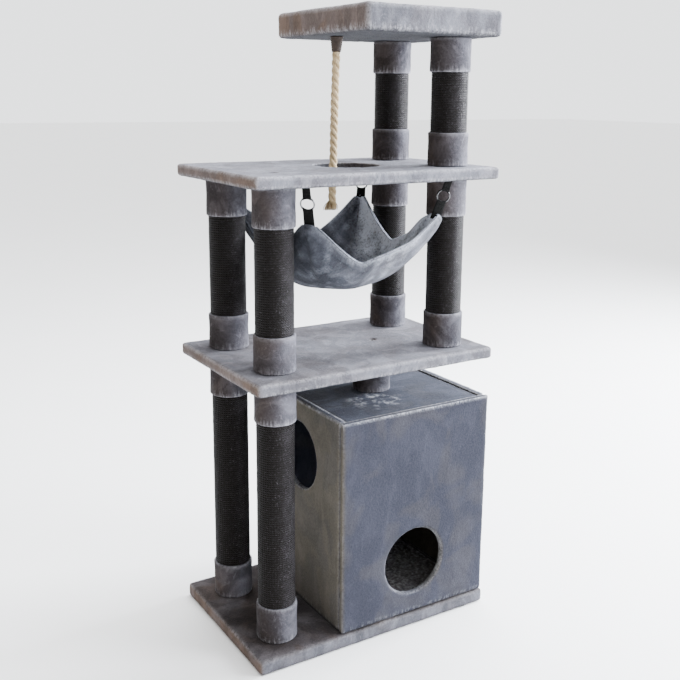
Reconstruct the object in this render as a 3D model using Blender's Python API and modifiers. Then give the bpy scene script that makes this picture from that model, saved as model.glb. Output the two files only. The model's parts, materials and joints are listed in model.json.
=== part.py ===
"""Cat tree: plush decks on sisal-wound posts, with a den box, a hammock and a hanging rope.

Metres, +Z up. The origin is on the floor, under the middle of the base deck.
-Y is the front, which has the den's lower doorway.
"""
import math

import bmesh
import bpy
from mathutils import Matrix, Vector

# Decks: all three are the same board, wrapped in plush, one above another.
DECK_WIDTH = 0.662
DECK_DEPTH = 0.436
BASE_TOP = 0.036
MIDDLE_TOP = 0.708
UPPER_TOP = 1.161
DECK_THICKNESS = 0.030
DECK_EDGE = 0.006
DECK_HOLE_X = 0.025
DECK_HOLE_RADIUS = 0.080

# Lounging platform at the very top, flush with the decks' right end.
PLATFORM_BOTTOM = 1.465
PLATFORM_THICKNESS = 0.063
PLATFORM_LEFT = -0.055
PLATFORM_DEPTH = 0.418
PLATFORM_EDGE = 0.010

# Posts: a paper tube with an end plug at each end, sisal in the middle, a plush collar at each end.
POST_X = 0.241
POST_Y = 0.124
TUBE_RADIUS = 0.0410
TUBE_BORE = 0.0360
SISAL_RADIUS = 0.0455
COLLAR_RADIUS = 0.0500
PLUG_THICKNESS = 0.018
COLLAR_SOFT_EDGE = 0.003
TOP_STUD = 0.020
TOP_STUD_SOCKET = 0.060
SIDES = 20
FIT = 0.0003

# Den box, open below: the base deck is its floor.
DEN_LEFT = -0.111
DEN_RIGHT = 0.327
DEN_FRONT = -0.216
DEN_BACK = 0.216
DEN_TOP = 0.579
DEN_WALL = 0.018
DEN_EDGE = 0.005
DEN_LID_DROP = 0.003
FRONT_DOOR_X = 0.104
FRONT_DOOR_Z = 0.177
FRONT_DOOR_RADIUS = 0.087
SIDE_DOOR_Z = 0.434
SIDE_DOOR_RADIUS = 0.088
SHORT_POST_X = (DEN_LEFT + DEN_RIGHT) / 2

# Bolts.
BOLT_RADIUS = 0.0040
BOLT_HOLE_RADIUS = 0.0045
HEAD_RADIUS = 0.0070
HEAD_HEIGHT = 0.0050
HEAD_HOLE_RADIUS = 0.0090
HEAD_SINK = 0.0085
BOLT_SIDES = 12
BOLT_REACH = 0.026
THROUGH = 0.100

# Hammock: a square of doubled plush on four hangers, each webbing - ring - webbing.
HANGER_X = 0.196
HANGER_Y = 0.190
HANGER_LEAN = 0.020
HANGER_DROP = 0.086
RING_RADIUS = 0.0155
RING_WIRE = 0.0020
RING_DOWN = 0.0395
WEBBING_WIDTH = 0.0190
WEBBING_THICKNESS = 0.0030
WEBBING_WALL = 0.0015
RING_SLACK = 0.0022
TOP_GAP = 0.0045
CORNER_GAP = 0.0080
HAMMOCK_LOW = 0.862
HAMMOCK_THICKNESS = 0.006
HAMMOCK_STEPS = 5
HAMMOCK_SPREAD = 0.8
RIM_PULL = 0.06
RIM_MIDDLE = 0.38
RIM_CURVE = 1.25
BED_CURVE = 3.5

# Rope: hangs from the lounging platform, through the upper deck's hole.
ROPE_RADIUS = 0.0085
CUFF_LENGTH = 0.036
CUFF_CROWN = 0.0042
CUFF_CROWN_FLAT = 0.003
CUFF_TOP_RADIUS = 0.0160
CUFF_LOW_RADIUS = 0.0115
CUFF_SIDES = 16
ROPE_TOP = (-0.001, 0.006, PLATFORM_BOTTOM - 0.0015)
ROPE_ROUTE = (
    (-0.0022, 0.0060, 1.4263),
    (-0.0036, 0.0060, 1.3850),
    (-0.0052, 0.0060, 1.3300),
    (-0.0067, 0.0060, 1.2750),
    (-0.0079, 0.0060, 1.2200),
    (-0.0091, 0.0060, 1.1610),
    (-0.0106, 0.0060, 1.1100),
    (-0.0125, 0.0060, 1.0500),
)

CORNERS = {
    "front_left": (-1, -1),
    "front_right": (1, -1),
    "back_left": (-1, 1),
    "back_right": (1, 1),
}

# The horizontal direction in which each hanger's webbing and ring lie broad.
STRAP_WIDTH_ALONG = {
    "front_left": (-1, 1, 0),
    "front_right": (1, -0.35, 0),
    "back_left": (1, 1, 0),
    "back_right": (1, -1, 0),
}

parts = None
cutters = None


def clear_scene():
    for old in list(bpy.data.objects):
        bpy.data.objects.remove(old, do_unlink=True)


def collection(name):
    made = bpy.data.collections.new(name)
    bpy.context.scene.collection.children.link(made)
    return made


def finish(name, colour, roughness, metallic=0.0):
    made = bpy.data.materials.new(name)
    made.use_nodes = True
    shader = made.node_tree.nodes["Principled BSDF"]
    shader.inputs["Base Color"].default_value = (*colour, 1.0)
    shader.inputs["Roughness"].default_value = roughness
    shader.inputs["Metallic"].default_value = metallic
    return made


def place(name, data, material, location=(0, 0, 0)):
    made = bpy.data.objects.new(name, data)
    made.location = location
    data.materials.append(material)
    parts.objects.link(made)
    return made


def box(name, low, high, edge, material):
    """A board between two corners, with its origin at its middle and rounded edges."""
    low, high = Vector(low), Vector(high)
    shape = bmesh.new()
    bmesh.ops.create_cube(shape, size=1.0)
    bmesh.ops.scale(shape, vec=high - low, verts=shape.verts)
    mesh = bpy.data.meshes.new(name)
    shape.to_mesh(mesh)
    shape.free()
    made = place(name, mesh, material, (low + high) / 2)
    bevel = made.modifiers.new("soft edge", "BEVEL")
    bevel.width = edge
    bevel.segments = 2
    return made


def turned(name, profile, material, location=(0, 0, 0), sides=SIDES, closed=True):
    """A profile of (radius, height) points swept once round +Z; an open one ends on the axis."""
    mesh = bpy.data.meshes.new(name)
    count = len(profile)
    edges = [(i, (i + 1) % count) for i in range(count if closed else count - 1)]
    mesh.from_pydata([(r, 0.0, z) for r, z in profile], edges, [])
    made = place(name, mesh, material, location)
    screw = made.modifiers.new("turn", "SCREW")
    screw.angle = 2 * math.pi
    screw.steps = sides
    screw.render_steps = sides
    screw.use_merge_vertices = True
    screw.merge_threshold = 0.0001
    screw.use_smooth_shade = False
    return made


def cutter(name, centre, axis, radius, length, sides=32):
    shape = bmesh.new()
    bmesh.ops.create_cone(
        shape, cap_ends=True, segments=sides, radius1=radius, radius2=radius, depth=length
    )
    mesh = bpy.data.meshes.new(name)
    shape.to_mesh(mesh)
    shape.free()
    made = bpy.data.objects.new(name, mesh)
    made.location = centre
    made.rotation_euler = Vector(axis).to_track_quat("Z", "Y").to_euler()
    made.hide_render = True
    made.display_type = "WIRE"
    cutters.objects.link(made)
    return made


def cut(target, tool):
    boolean = target.modifiers.new("cut " + tool.name, "BOOLEAN")
    boolean.operation = "DIFFERENCE"
    boolean.solver = "EXACT"
    boolean.object = tool


def bolt_hole(deck, name, x, y, z_middle, head_face=None):
    """A clearance hole through a deck, with a pocket for the bolt's head where it has one."""
    cut(deck, cutter(name, (x, y, z_middle), (0, 0, 1), BOLT_HOLE_RADIUS, THROUGH, BOLT_SIDES))
    if head_face is not None:
        pocket = cutter(name + "_pocket", (x, y, head_face), (0, 0, 1), HEAD_HOLE_RADIUS,
                        2 * HEAD_SINK, BOLT_SIDES)
        cut(deck, pocket)


def decks(plush):
    """The three full-width decks, with their bolt holes and the upper deck's rope hole."""
    half_w, half_d = DECK_WIDTH / 2, DECK_DEPTH / 2
    levels = {
        "base_deck": (0.0, BASE_TOP),
        "middle_deck": (MIDDLE_TOP - DECK_THICKNESS, MIDDLE_TOP),
        "upper_deck": (UPPER_TOP - DECK_THICKNESS, UPPER_TOP),
    }
    made = {}
    for name, (bottom, top) in levels.items():
        low, high = (-half_w, -half_d, bottom), (half_w, half_d, top)
        made[name] = box(name, low, high, DECK_EDGE, plush)
    rope_hole = (DECK_HOLE_X, 0, UPPER_TOP)
    cut(made["upper_deck"], cutter("rope_hole", rope_hole, (0, 0, 1), DECK_HOLE_RADIUS, THROUGH))
    for row, y in (("front", -POST_Y), ("back", POST_Y)):
        bolt_hole(made["base_deck"], f"base_hole_{row}", -POST_X, y, 0, head_face=0.0)
        middle = MIDDLE_TOP - DECK_THICKNESS / 2
        bolt_hole(made["middle_deck"], f"middle_stud_hole_{row}", -POST_X, y, middle)
        bolt_hole(made["middle_deck"], f"middle_bolt_hole_{row}", POST_X, y, middle,
                  head_face=MIDDLE_TOP - DECK_THICKNESS)
        upper = UPPER_TOP - DECK_THICKNESS / 2
        bolt_hole(made["upper_deck"], f"upper_bolt_hole_{row}", -POST_X, y, upper,
                  head_face=UPPER_TOP)
        bolt_hole(made["upper_deck"], f"upper_stud_hole_{row}", POST_X, y, upper)
    bolt_hole(made["middle_deck"], "short_post_hole", SHORT_POST_X, 0, MIDDLE_TOP,
              head_face=MIDDLE_TOP)


def lounging_platform(plush):
    half_d = PLATFORM_DEPTH / 2
    platform = box("lounging_platform", (PLATFORM_LEFT, -half_d, PLATFORM_BOTTOM),
                   (DECK_WIDTH / 2, half_d, PLATFORM_BOTTOM + PLATFORM_THICKNESS),
                   PLATFORM_EDGE, plush)
    for row, y in (("front", -POST_Y), ("back", POST_Y)):
        socket = (POST_X, y, PLATFORM_BOTTOM)
        cut(platform, cutter(f"platform_socket_{row}", socket, (0, 0, 1), BOLT_HOLE_RADIUS,
                             TOP_STUD_SOCKET, BOLT_SIDES))


def den(plush):
    """Five panels: the two side walls stand between the front and the back, the lid inside all four."""
    floor, top, wall = BASE_TOP + FIT, DEN_TOP, DEN_WALL
    front = box("den_front", (DEN_LEFT, DEN_FRONT, floor),
                (DEN_RIGHT, DEN_FRONT + wall, top), DEN_EDGE, plush)
    cut(front, cutter("front_doorway", (FRONT_DOOR_X, DEN_FRONT, FRONT_DOOR_Z), (0, 1, 0),
                      FRONT_DOOR_RADIUS, THROUGH))
    box("den_back", (DEN_LEFT, DEN_BACK - wall, floor), (DEN_RIGHT, DEN_BACK, top), DEN_EDGE, plush)
    near, far = DEN_FRONT + wall + FIT, DEN_BACK - wall - FIT
    left = box("den_left_side", (DEN_LEFT, near, floor), (DEN_LEFT + wall, far, top),
               DEN_EDGE, plush)
    cut(left, cutter("side_doorway", (DEN_LEFT, 0, SIDE_DOOR_Z), (1, 0, 0),
                     SIDE_DOOR_RADIUS, THROUGH))
    box("den_right_side", (DEN_RIGHT - wall, near, floor), (DEN_RIGHT, far, top), DEN_EDGE, plush)
    lid = box("den_lid", (DEN_LEFT + wall + FIT, near, top - DEN_LID_DROP - wall),
              (DEN_RIGHT - wall - FIT, far, top - DEN_LID_DROP), DEN_EDGE, plush)
    cut(lid, cutter("lid_bolt_hole", (SHORT_POST_X, 0, top), (0, 0, 1), BOLT_HOLE_RADIUS,
                    THROUGH, BOLT_SIDES))


def post(name, x, y, bottom, top, collar_heights, sisal, plush, top_stud=0.0):
    """A wound tube between two heights, its plush collars, and a glued stud of this height on top."""
    low, high = bottom + FIT, top - FIT
    height = high - low
    low_collar, high_collar = collar_heights
    hole = BOLT_HOLE_RADIUS
    outer = [
        (TUBE_RADIUS, height),
        (TUBE_RADIUS, height - high_collar),
        (SISAL_RADIUS, height - high_collar - FIT),
        (SISAL_RADIUS, low_collar + FIT),
        (TUBE_RADIUS, low_collar),
        (TUBE_RADIUS, 0.0),
    ]
    inner = [
        (hole, 0.0),
        (hole, PLUG_THICKNESS),
        (TUBE_BORE, PLUG_THICKNESS),
        (TUBE_BORE, height - PLUG_THICKNESS),
    ]
    if top_stud:
        end = [
            (BOLT_RADIUS / 4, height - PLUG_THICKNESS),
            (BOLT_RADIUS / 4, height + top_stud),
            (BOLT_RADIUS, height + top_stud),
            (BOLT_RADIUS, height),
        ]
    else:
        end = [(hole, height - PLUG_THICKNESS), (hole, height)]
    turned(name, outer + inner + end, sisal, (x, y, low))
    collar_ring(name + "_low_collar", x, y, low, low + low_collar - 2 * FIT, plush)
    collar_ring(name + "_high_collar", x, y, high - high_collar + 2 * FIT, high, plush)


def collar_ring(name, x, y, low, high, plush):
    height = high - low
    soft = COLLAR_SOFT_EDGE
    profile = [
        (TUBE_RADIUS + FIT, height),
        (COLLAR_RADIUS - soft, height),
        (COLLAR_RADIUS, height - soft),
        (COLLAR_RADIUS, soft),
        (COLLAR_RADIUS - soft, 0.0),
        (TUBE_RADIUS + FIT, 0.0),
    ]
    turned(name, profile, plush, (x, y, low))


def posts(sisal, plush):
    middle_bottom = MIDDLE_TOP - DECK_THICKNESS
    upper_bottom = UPPER_TOP - DECK_THICKNESS
    for row, y in (("front", -POST_Y), ("back", POST_Y)):
        post(f"lower_{row}_post", -POST_X, y, BASE_TOP, middle_bottom, (0.090, 0.092),
             sisal, plush)
        for side, x in (("left", -POST_X), ("right", POST_X)):
            post(f"middle_{row}_{side}_post", x, y, MIDDLE_TOP, upper_bottom, (0.087, 0.092),
                 sisal, plush)
        post(f"upper_{row}_post", POST_X, y, UPPER_TOP, PLATFORM_BOTTOM, (0.081, 0.081),
             sisal, plush, TOP_STUD)


def short_post(plush):
    """The plush-wrapped stub that carries the middle deck on the den's lid."""
    low = DEN_TOP - DEN_LID_DROP + FIT
    height = MIDDLE_TOP - DECK_THICKNESS - FIT - low
    hole = BOLT_HOLE_RADIUS
    profile = [
        (COLLAR_RADIUS, height),
        (COLLAR_RADIUS, 0.0),
        (hole, 0.0),
        (hole, PLUG_THICKNESS),
        (TUBE_BORE, PLUG_THICKNESS),
        (TUBE_BORE, height - PLUG_THICKNESS),
        (hole, height - PLUG_THICKNESS),
        (hole, height),
    ]
    turned("short_post", profile, plush, (SHORT_POST_X, 0, low))


def bolt(name, x, y, head_face, length, up, steel):
    """A socket-head bolt whose head lies just inside head_face; up says which way its shank points."""
    sign = 1 if up else -1
    start = head_face + sign * (HEAD_SINK - FIT - HEAD_HEIGHT)
    socket = HEAD_HEIGHT * 0.6
    profile = [
        (0.0, socket),
        (HEAD_RADIUS / 2, socket),
        (HEAD_RADIUS / 2, 0.0),
        (HEAD_RADIUS, 0.0),
        (HEAD_RADIUS, HEAD_HEIGHT),
        (BOLT_RADIUS, HEAD_HEIGHT),
        (BOLT_RADIUS, HEAD_HEIGHT + length),
        (0.0, HEAD_HEIGHT + length),
    ]
    made = turned(name, profile[::-1], steel, (x, y, start), BOLT_SIDES, closed=False)
    if not up:
        made.rotation_euler = (math.pi, 0, 0)
    return made


def stud(name, x, y, middle, steel):
    """A plain threaded rod that joins the post below a deck to the post above it."""
    half = DECK_THICKNESS / 2 + BOLT_REACH
    profile = [(0.0, half), (BOLT_RADIUS, half), (BOLT_RADIUS, -half), (0.0, -half)]
    turned(name, profile, steel, (x, y, middle), BOLT_SIDES, closed=False)


def fasteners(steel):
    short_post_length = MIDDLE_TOP - HEAD_SINK - DEN_TOP + DEN_LID_DROP + DEN_WALL
    for row, y in (("front", -POST_Y), ("back", POST_Y)):
        bolt(f"base_bolt_{row}", -POST_X, y, 0.0, BASE_TOP - HEAD_SINK + BOLT_REACH, True, steel)
        stud(f"middle_stud_{row}", -POST_X, y, MIDDLE_TOP - DECK_THICKNESS / 2, steel)
        grip = DECK_THICKNESS - HEAD_SINK + BOLT_REACH
        bolt(f"middle_bolt_{row}", POST_X, y, MIDDLE_TOP - DECK_THICKNESS, grip, True, steel)
        bolt(f"upper_bolt_{row}", -POST_X, y, UPPER_TOP, grip, False, steel)
        stud(f"upper_stud_{row}", POST_X, y, UPPER_TOP - DECK_THICKNESS / 2, steel)
    bolt("short_post_bolt", SHORT_POST_X, 0, MIDDLE_TOP, short_post_length, False, steel)


def hanger_line(corner):
    """The hanger's anchor under the upper deck, its straight direction down, and its length."""
    sx, sy = CORNERS[corner]
    anchor = Vector((sx * HANGER_X, sy * HANGER_Y, UPPER_TOP - DECK_THICKNESS))
    drop = Vector((-sx * HANGER_LEAN, -sy * HANGER_LEAN, -HANGER_DROP))
    return anchor, drop.normalized(), drop.length


def hanger_frame(corner, along):
    """Axes of a webbing: X across its thickness, Y along it, Z across its width."""
    across = Vector(STRAP_WIDTH_ALONG[corner])
    across = (across - along * across.dot(along)).normalized()
    thick = along.cross(across)
    return Matrix((thick, along, across)).transposed().to_4x4()


def webbing(name, corner, loop_at, end_at, along, black):
    """Webbing doubled round a ring: an eye at loop_at, and a flat tail that ends at end_at."""
    sag = RING_RADIUS - math.sqrt(RING_RADIUS ** 2 - (WEBBING_WIDTH / 2) ** 2)
    eye = RING_WIRE + RING_SLACK
    rim = eye + WEBBING_WALL
    tail = (end_at - loop_at).length
    half = WEBBING_THICKNESS / 2
    meet = math.acos(half / rim)
    top_arc = [(rim * math.cos(a), rim * math.sin(a)) for a in arc(math.pi - meet, math.pi, 3)]
    low_arc = [(rim * math.cos(a), rim * math.sin(a) - sag) for a in arc(math.pi, 2 * math.pi, 6)]
    far_arc = [(rim * math.cos(a), rim * math.sin(a)) for a in arc(0, meet, 3)]
    outline = [(half, tail), (-half, tail)] + top_arc + low_arc + far_arc
    bore = [(eye * math.cos(a), eye * math.sin(a)) for a in arc(0, math.pi, 6)]
    bore += [(eye * math.cos(a), eye * math.sin(a) - sag) for a in arc(math.pi, 2 * math.pi, 6)]
    curve = bpy.data.curves.new(name, "CURVE")
    curve.dimensions = "2D"
    curve.fill_mode = "BOTH"
    curve.extrude = WEBBING_WIDTH / 2
    for points in (outline, bore):
        spline = curve.splines.new("POLY")
        spline.points.add(len(points) - 1)
        spline.use_cyclic_u = True
        for point, (x, y) in zip(spline.points, points):
            point.co = (x, y, 0.0, 1.0)
    made = place(name, curve, black)
    made.matrix_world = Matrix.Translation(loop_at) @ hanger_frame(corner, along)
    return made


def arc(start, end, steps):
    return [start + (end - start) * i / steps for i in range(steps + 1)]


def hanger(corner, black, nickel):
    anchor, down, length = hanger_line(corner)
    ring_top = anchor + down * (RING_DOWN - RING_RADIUS)
    ring_low = anchor + down * (RING_DOWN + RING_RADIUS)
    tail_top = anchor + down * TOP_GAP
    tail_low = anchor + down * (length - CORNER_GAP)
    webbing(f"upper_webbing_{corner}", corner, ring_top, tail_top, -down, black)
    webbing(f"lower_webbing_{corner}", corner, ring_low, tail_low, down, black)
    bpy.ops.mesh.primitive_torus_add(
        major_segments=20, minor_segments=6, major_radius=RING_RADIUS, minor_radius=RING_WIRE
    )
    ring = bpy.context.object
    ring.name = f"ring_{corner}"
    ring.data.name = ring.name
    ring.data.materials.append(nickel)
    for home in list(ring.users_collection):
        home.objects.unlink(ring)
    parts.objects.link(ring)
    middle = Matrix.Translation(anchor + down * RING_DOWN)
    ring.matrix_world = middle @ hanger_frame(corner, down) @ Matrix.Rotation(math.pi / 2, 4, "Y")
    ring.data.shade_smooth()


def hammock_rise(u, v):
    """How far up a point lies, from 0 at the bed's middle to 1 at a corner; u, v run from -1 to 1."""
    s, t = abs(u), abs(v)
    bed = s ** BED_CURVE + t ** BED_CURVE - (s * t) ** BED_CURVE
    return RIM_MIDDLE * bed + (1 - RIM_MIDDLE) * (s * t) ** RIM_CURVE


def hammock_point(u, v, span_x, span_y, rim_top):
    """A point of the hanging square, whose rims pull in a little between corners."""
    x = span_x * u * (1 - RIM_PULL * (1 - v * v))
    y = span_y * v * (1 - RIM_PULL * (1 - u * u))
    return x, y, HAMMOCK_LOW + (rim_top - HAMMOCK_LOW) * hammock_rise(u, v)


def hammock(plush):
    """One sheet with its four corners cut square to the hangers, then given its thickness."""
    steps = HAMMOCK_STEPS
    lines = [math.copysign((abs(i) / steps) ** HAMMOCK_SPREAD, i) for i in range(-steps, steps + 1)]
    tip = (1 + lines[-2]) / 2
    pull = tip * (1 - RIM_PULL * (1 - tip * tip))
    span_x = (HANGER_X - HANGER_LEAN) / pull
    span_y = (HANGER_Y - HANGER_LEAN) / pull
    tip_z = UPPER_TOP - DECK_THICKNESS - HANGER_DROP
    rim_top = HAMMOCK_LOW + (tip_z - HAMMOCK_LOW) / hammock_rise(tip, tip)
    shape = bmesh.new()
    grid = {}
    for i, u in enumerate(lines):
        for j, v in enumerate(lines):
            corner = abs(u) == 1 and abs(v) == 1
            a, b = (u * tip, v * tip) if corner else (u, v)
            grid[i, j] = shape.verts.new(hammock_point(a, b, span_x, span_y, rim_top))
    last = len(lines) - 1
    for i in range(last):
        for j in range(last):
            shape.faces.new((grid[i, j], grid[i + 1, j], grid[i + 1, j + 1], grid[i, j + 1]))
    mesh = bpy.data.meshes.new("hammock_bed")
    shape.to_mesh(mesh)
    shape.free()
    mesh.shade_smooth()
    made = place("hammock_bed", mesh, plush)
    solid = made.modifiers.new("thickness", "SOLIDIFY")
    solid.thickness = HAMMOCK_THICKNESS
    solid.offset = 0.0


def smooth_route(points, per_span):
    """Points of a curve that passes smoothly through the given ones."""
    ends = [points[0], *points, points[-1]]
    route = []
    for p0, p1, p2, p3 in zip(ends, ends[1:], ends[2:], ends[3:]):
        p0, p1, p2, p3 = Vector(p0), Vector(p1), Vector(p2), Vector(p3)
        for step in range(per_span):
            t = step / per_span
            bend = (2 * p0 - 5 * p1 + 4 * p2 - p3) * t + (3 * p1 - p0 - 3 * p2 + p3) * t * t
            route.append((2 * p1 + (p2 - p0 + bend) * t) / 2)
    route.append(Vector(points[-1]))
    return route


def rope(natural, brown):
    cuff = [
        (0.0, 0.0),
        (CUFF_CROWN_FLAT, 0.0),
        (CUFF_TOP_RADIUS, -CUFF_CROWN),
        (CUFF_TOP_RADIUS * 0.95, -CUFF_LENGTH * 0.3),
        (CUFF_LOW_RADIUS, -CUFF_LENGTH),
        (0.0, -CUFF_LENGTH),
    ]
    turned("rope_cuff", cuff, brown, ROPE_TOP, CUFF_SIDES, closed=False)
    curve = bpy.data.curves.new("hanging_rope", "CURVE")
    curve.dimensions = "3D"
    curve.bevel_depth = ROPE_RADIUS
    curve.bevel_resolution = 2
    curve.use_fill_caps = True
    route = smooth_route(ROPE_ROUTE, 2)
    spline = curve.splines.new("POLY")
    spline.points.add(len(route) - 1)
    hinge = Vector(ROPE_ROUTE[0])
    for point, place_at in zip(spline.points, route):
        point.co = (*(place_at - hinge), 1.0)
    place("hanging_rope", curve, natural, hinge)


def build():
    global parts, cutters
    clear_scene()
    parts = collection("cat_tree")
    cutters = collection("cutters")
    deck_plush = finish("deck plush", (0.33, 0.33, 0.36), 0.95)
    den_plush = finish("den plush", (0.22, 0.22, 0.25), 0.95)
    collar_plush = finish("collar plush", (0.26, 0.26, 0.29), 0.95)
    hammock_plush = finish("hammock plush", (0.28, 0.29, 0.33), 0.95)
    sisal = finish("charcoal sisal", (0.05, 0.05, 0.055), 0.9)
    black = finish("black webbing", (0.012, 0.012, 0.012), 0.8)
    nickel = finish("nickel wire", (0.75, 0.75, 0.74), 0.2, 1.0)
    steel = finish("zinc steel", (0.55, 0.55, 0.56), 0.35, 1.0)
    natural = finish("natural sisal rope", (0.58, 0.45, 0.27), 0.9)
    brown = finish("brown cuff", (0.06, 0.045, 0.03), 0.8)
    decks(deck_plush)
    lounging_platform(deck_plush)
    den(den_plush)
    posts(sisal, collar_plush)
    short_post(collar_plush)
    fasteners(steel)
    for corner in CORNERS:
        hanger(corner, black, nickel)
    hammock(hammock_plush)
    rope(natural, brown)


build()
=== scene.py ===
"""The finished look of a plush cat tree: fabric, wound posts, hammock, rope, light and camera."""
import json
import math

import bmesh
import bpy
import numpy as np
from mathutils import Matrix, Vector, noise


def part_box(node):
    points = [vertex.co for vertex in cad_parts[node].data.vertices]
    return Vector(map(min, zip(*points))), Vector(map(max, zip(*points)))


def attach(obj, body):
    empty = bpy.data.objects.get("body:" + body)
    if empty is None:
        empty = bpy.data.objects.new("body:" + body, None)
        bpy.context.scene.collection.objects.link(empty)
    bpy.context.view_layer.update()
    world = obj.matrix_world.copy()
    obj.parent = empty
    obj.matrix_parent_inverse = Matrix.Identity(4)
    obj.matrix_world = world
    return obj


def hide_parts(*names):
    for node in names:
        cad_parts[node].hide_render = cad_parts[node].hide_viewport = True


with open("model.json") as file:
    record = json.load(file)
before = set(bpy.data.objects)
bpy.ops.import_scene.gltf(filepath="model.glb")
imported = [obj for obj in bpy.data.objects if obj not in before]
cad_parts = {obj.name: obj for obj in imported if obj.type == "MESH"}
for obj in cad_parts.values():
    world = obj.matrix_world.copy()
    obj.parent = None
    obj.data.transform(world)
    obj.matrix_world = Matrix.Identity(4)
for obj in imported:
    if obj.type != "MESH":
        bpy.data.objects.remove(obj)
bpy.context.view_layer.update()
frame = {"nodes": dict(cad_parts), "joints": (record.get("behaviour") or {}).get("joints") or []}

# ---- places read from the frame

DEN_PANELS = ("den_front", "den_back", "den_left_side", "den_right_side", "den_lid")
CORNERS = {"front_left": (-1, -1), "front_right": (1, -1), "back_left": (-1, 1), "back_right": (1, 1)}
POSTS = sorted(node for node in frame["nodes"] if node.endswith("_post") and node != "short_post")
SINKS = {
    "base_deck": [node for node in frame["nodes"] if node.startswith("base_bolt")],
    "middle_deck": ["middle_bolt_front", "middle_bolt_back", "short_post_bolt"],
    "upper_deck": [node for node in frame["nodes"] if node.startswith("upper_bolt")],
}
JOINTS = {joint["name"]: joint for joint in frame["joints"]}


def middle(node):
    low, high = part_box(node)
    return (low + high) / 2


# each board's round hole: its centre, its axis and its radius
DOORWAYS = {
    "upper_deck": (Vector((0.025, 0.0, middle("upper_deck").z)), Vector((0, 0, 1)), 0.080),
    "den_front": (Vector((0.104, middle("den_front").y, 0.177)), Vector((0, 1, 0)), 0.087),
    "den_left_side": (Vector((middle("den_left_side").x, 0.0, 0.434)), Vector((1, 0, 0)), 0.088),
}

# ---- camera

EYE = Vector((-1.2035, -1.9768, 1.3301))
HEADING = math.radians(32.16)
TILT = math.radians(12.337)
ROLL = math.radians(0.556)
LENS = 49.80
SHIFT = (-0.0147, -0.0588)


def make_camera():
    ahead = Vector((math.sin(HEADING) * math.cos(TILT), math.cos(HEADING) * math.cos(TILT),
                    -math.sin(TILT)))
    right = ahead.cross(Vector((0, 0, 1))).normalized()
    up = right.cross(ahead)
    leaning_right = right * math.cos(ROLL) + up * math.sin(ROLL)
    leaning_up = up * math.cos(ROLL) - right * math.sin(ROLL)
    data = bpy.data.cameras.new("camera")
    data.lens = LENS
    data.shift_x, data.shift_y = SHIFT
    camera = into_scene("camera", data)
    axes = Matrix((leaning_right, leaning_up, -ahead)).transposed().to_4x4()
    camera.matrix_world = Matrix.Translation(EYE) @ axes
    bpy.context.scene.camera = camera


# ---- shader writing


class Value:
    """A number, colour or vector that varies over a surface: the output socket of a node."""

    def __init__(self, shade, socket):
        self.shade = shade
        self.socket = socket

    def maths(self, operation, first, second=0.0):
        return self.shade.node("ShaderNodeMath", {"operation": operation}, {0: first, 1: second})

    def __add__(self, other):
        return self.maths("ADD", self, other)

    def __radd__(self, other):
        return self.maths("ADD", other, self)

    def __sub__(self, other):
        return self.maths("SUBTRACT", self, other)

    def __rsub__(self, other):
        return self.maths("SUBTRACT", other, self)

    def __mul__(self, other):
        return self.maths("MULTIPLY", self, other)

    def __rmul__(self, other):
        return self.maths("MULTIPLY", other, self)

    def __truediv__(self, other):
        return self.maths("DIVIDE", self, other)

    def __pow__(self, other):
        return self.maths("POWER", self, other)

    def sine(self):
        return self.maths("SINE", self)

    def wrapped(self):
        return self.maths("FRACT", self)

    def size(self):
        return self.maths("ABSOLUTE", self)

    def clamped(self):
        return self.shade.node("ShaderNodeClamp", {}, {0: self, 1: 0.0, 2: 1.0})


class Shade:
    """The nodes of one finish, or of the studio's surroundings."""

    def __init__(self, owner):
        self.owner = owner
        owner.use_nodes = True
        self.tree = owner.node_tree

    @classmethod
    def of_finish(cls, name):
        return cls(bpy.data.materials.new(name))

    def node(self, kind, settings, inputs, output=0):
        made = self.tree.nodes.new(kind)
        for key, value in settings.items():
            setattr(made, key, value)
        for key, value in inputs.items():
            self.feed(made.inputs[key], value)
        return Value(self, made.outputs[output])

    def feed(self, socket, value):
        if isinstance(value, Value):
            self.tree.links.new(value.socket, socket)
        elif isinstance(value, (int, float)):
            socket.default_value = value
        elif len(socket.default_value) == 4:
            socket.default_value = (*value, 1.0)
        else:
            socket.default_value = value

    def position(self):
        return self.node("ShaderNodeTexCoord", {}, {}, output="Object")

    def stretched(self, vector, scale):
        return self.node("ShaderNodeVectorMath", {"operation": "MULTIPLY"}, {0: vector, 1: scale})

    def parts(self, vector):
        split = self.node("ShaderNodeSeparateXYZ", {}, {0: vector})
        outputs = split.socket.node.outputs
        return [Value(self, outputs[axis]) for axis in range(3)]

    def cloud(self, vector, scale, detail=2.0, roughness=0.5, distortion=0.0):
        inputs = {"Vector": vector, "Scale": scale, "Detail": detail, "Roughness": roughness,
                  "Distortion": distortion}
        return self.node("ShaderNodeTexNoise", {}, inputs)

    def between(self, value, low, high):
        """0 below low, 1 above high, and smooth in between."""
        settings = {"interpolation_type": "SMOOTHSTEP"}
        return self.node("ShaderNodeMapRange", settings, {0: value, 1: low, 2: high, 3: 0.0, 4: 1.0})

    def blended(self, mask, first, second):
        settings = {"data_type": "RGBA"}
        return self.node("ShaderNodeMix", settings, {0: mask, 6: first, 7: second}, output=2)

    def painted(self, name):
        return self.node("ShaderNodeAttribute", {"attribute_name": name}, {}, output=2)

    def relief(self, height, depth):
        return self.node("ShaderNodeBump", {}, {"Strength": 1.0, "Distance": depth, "Height": height})

    def finish(self, **inputs):
        shader = self.tree.nodes["Principled BSDF"]
        for key, value in inputs.items():
            self.feed(shader.inputs[key.replace("_", " ")], value)
        return self.owner


# ---- finishes

BLACK = (0.0, 0.0, 0.0)


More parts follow.
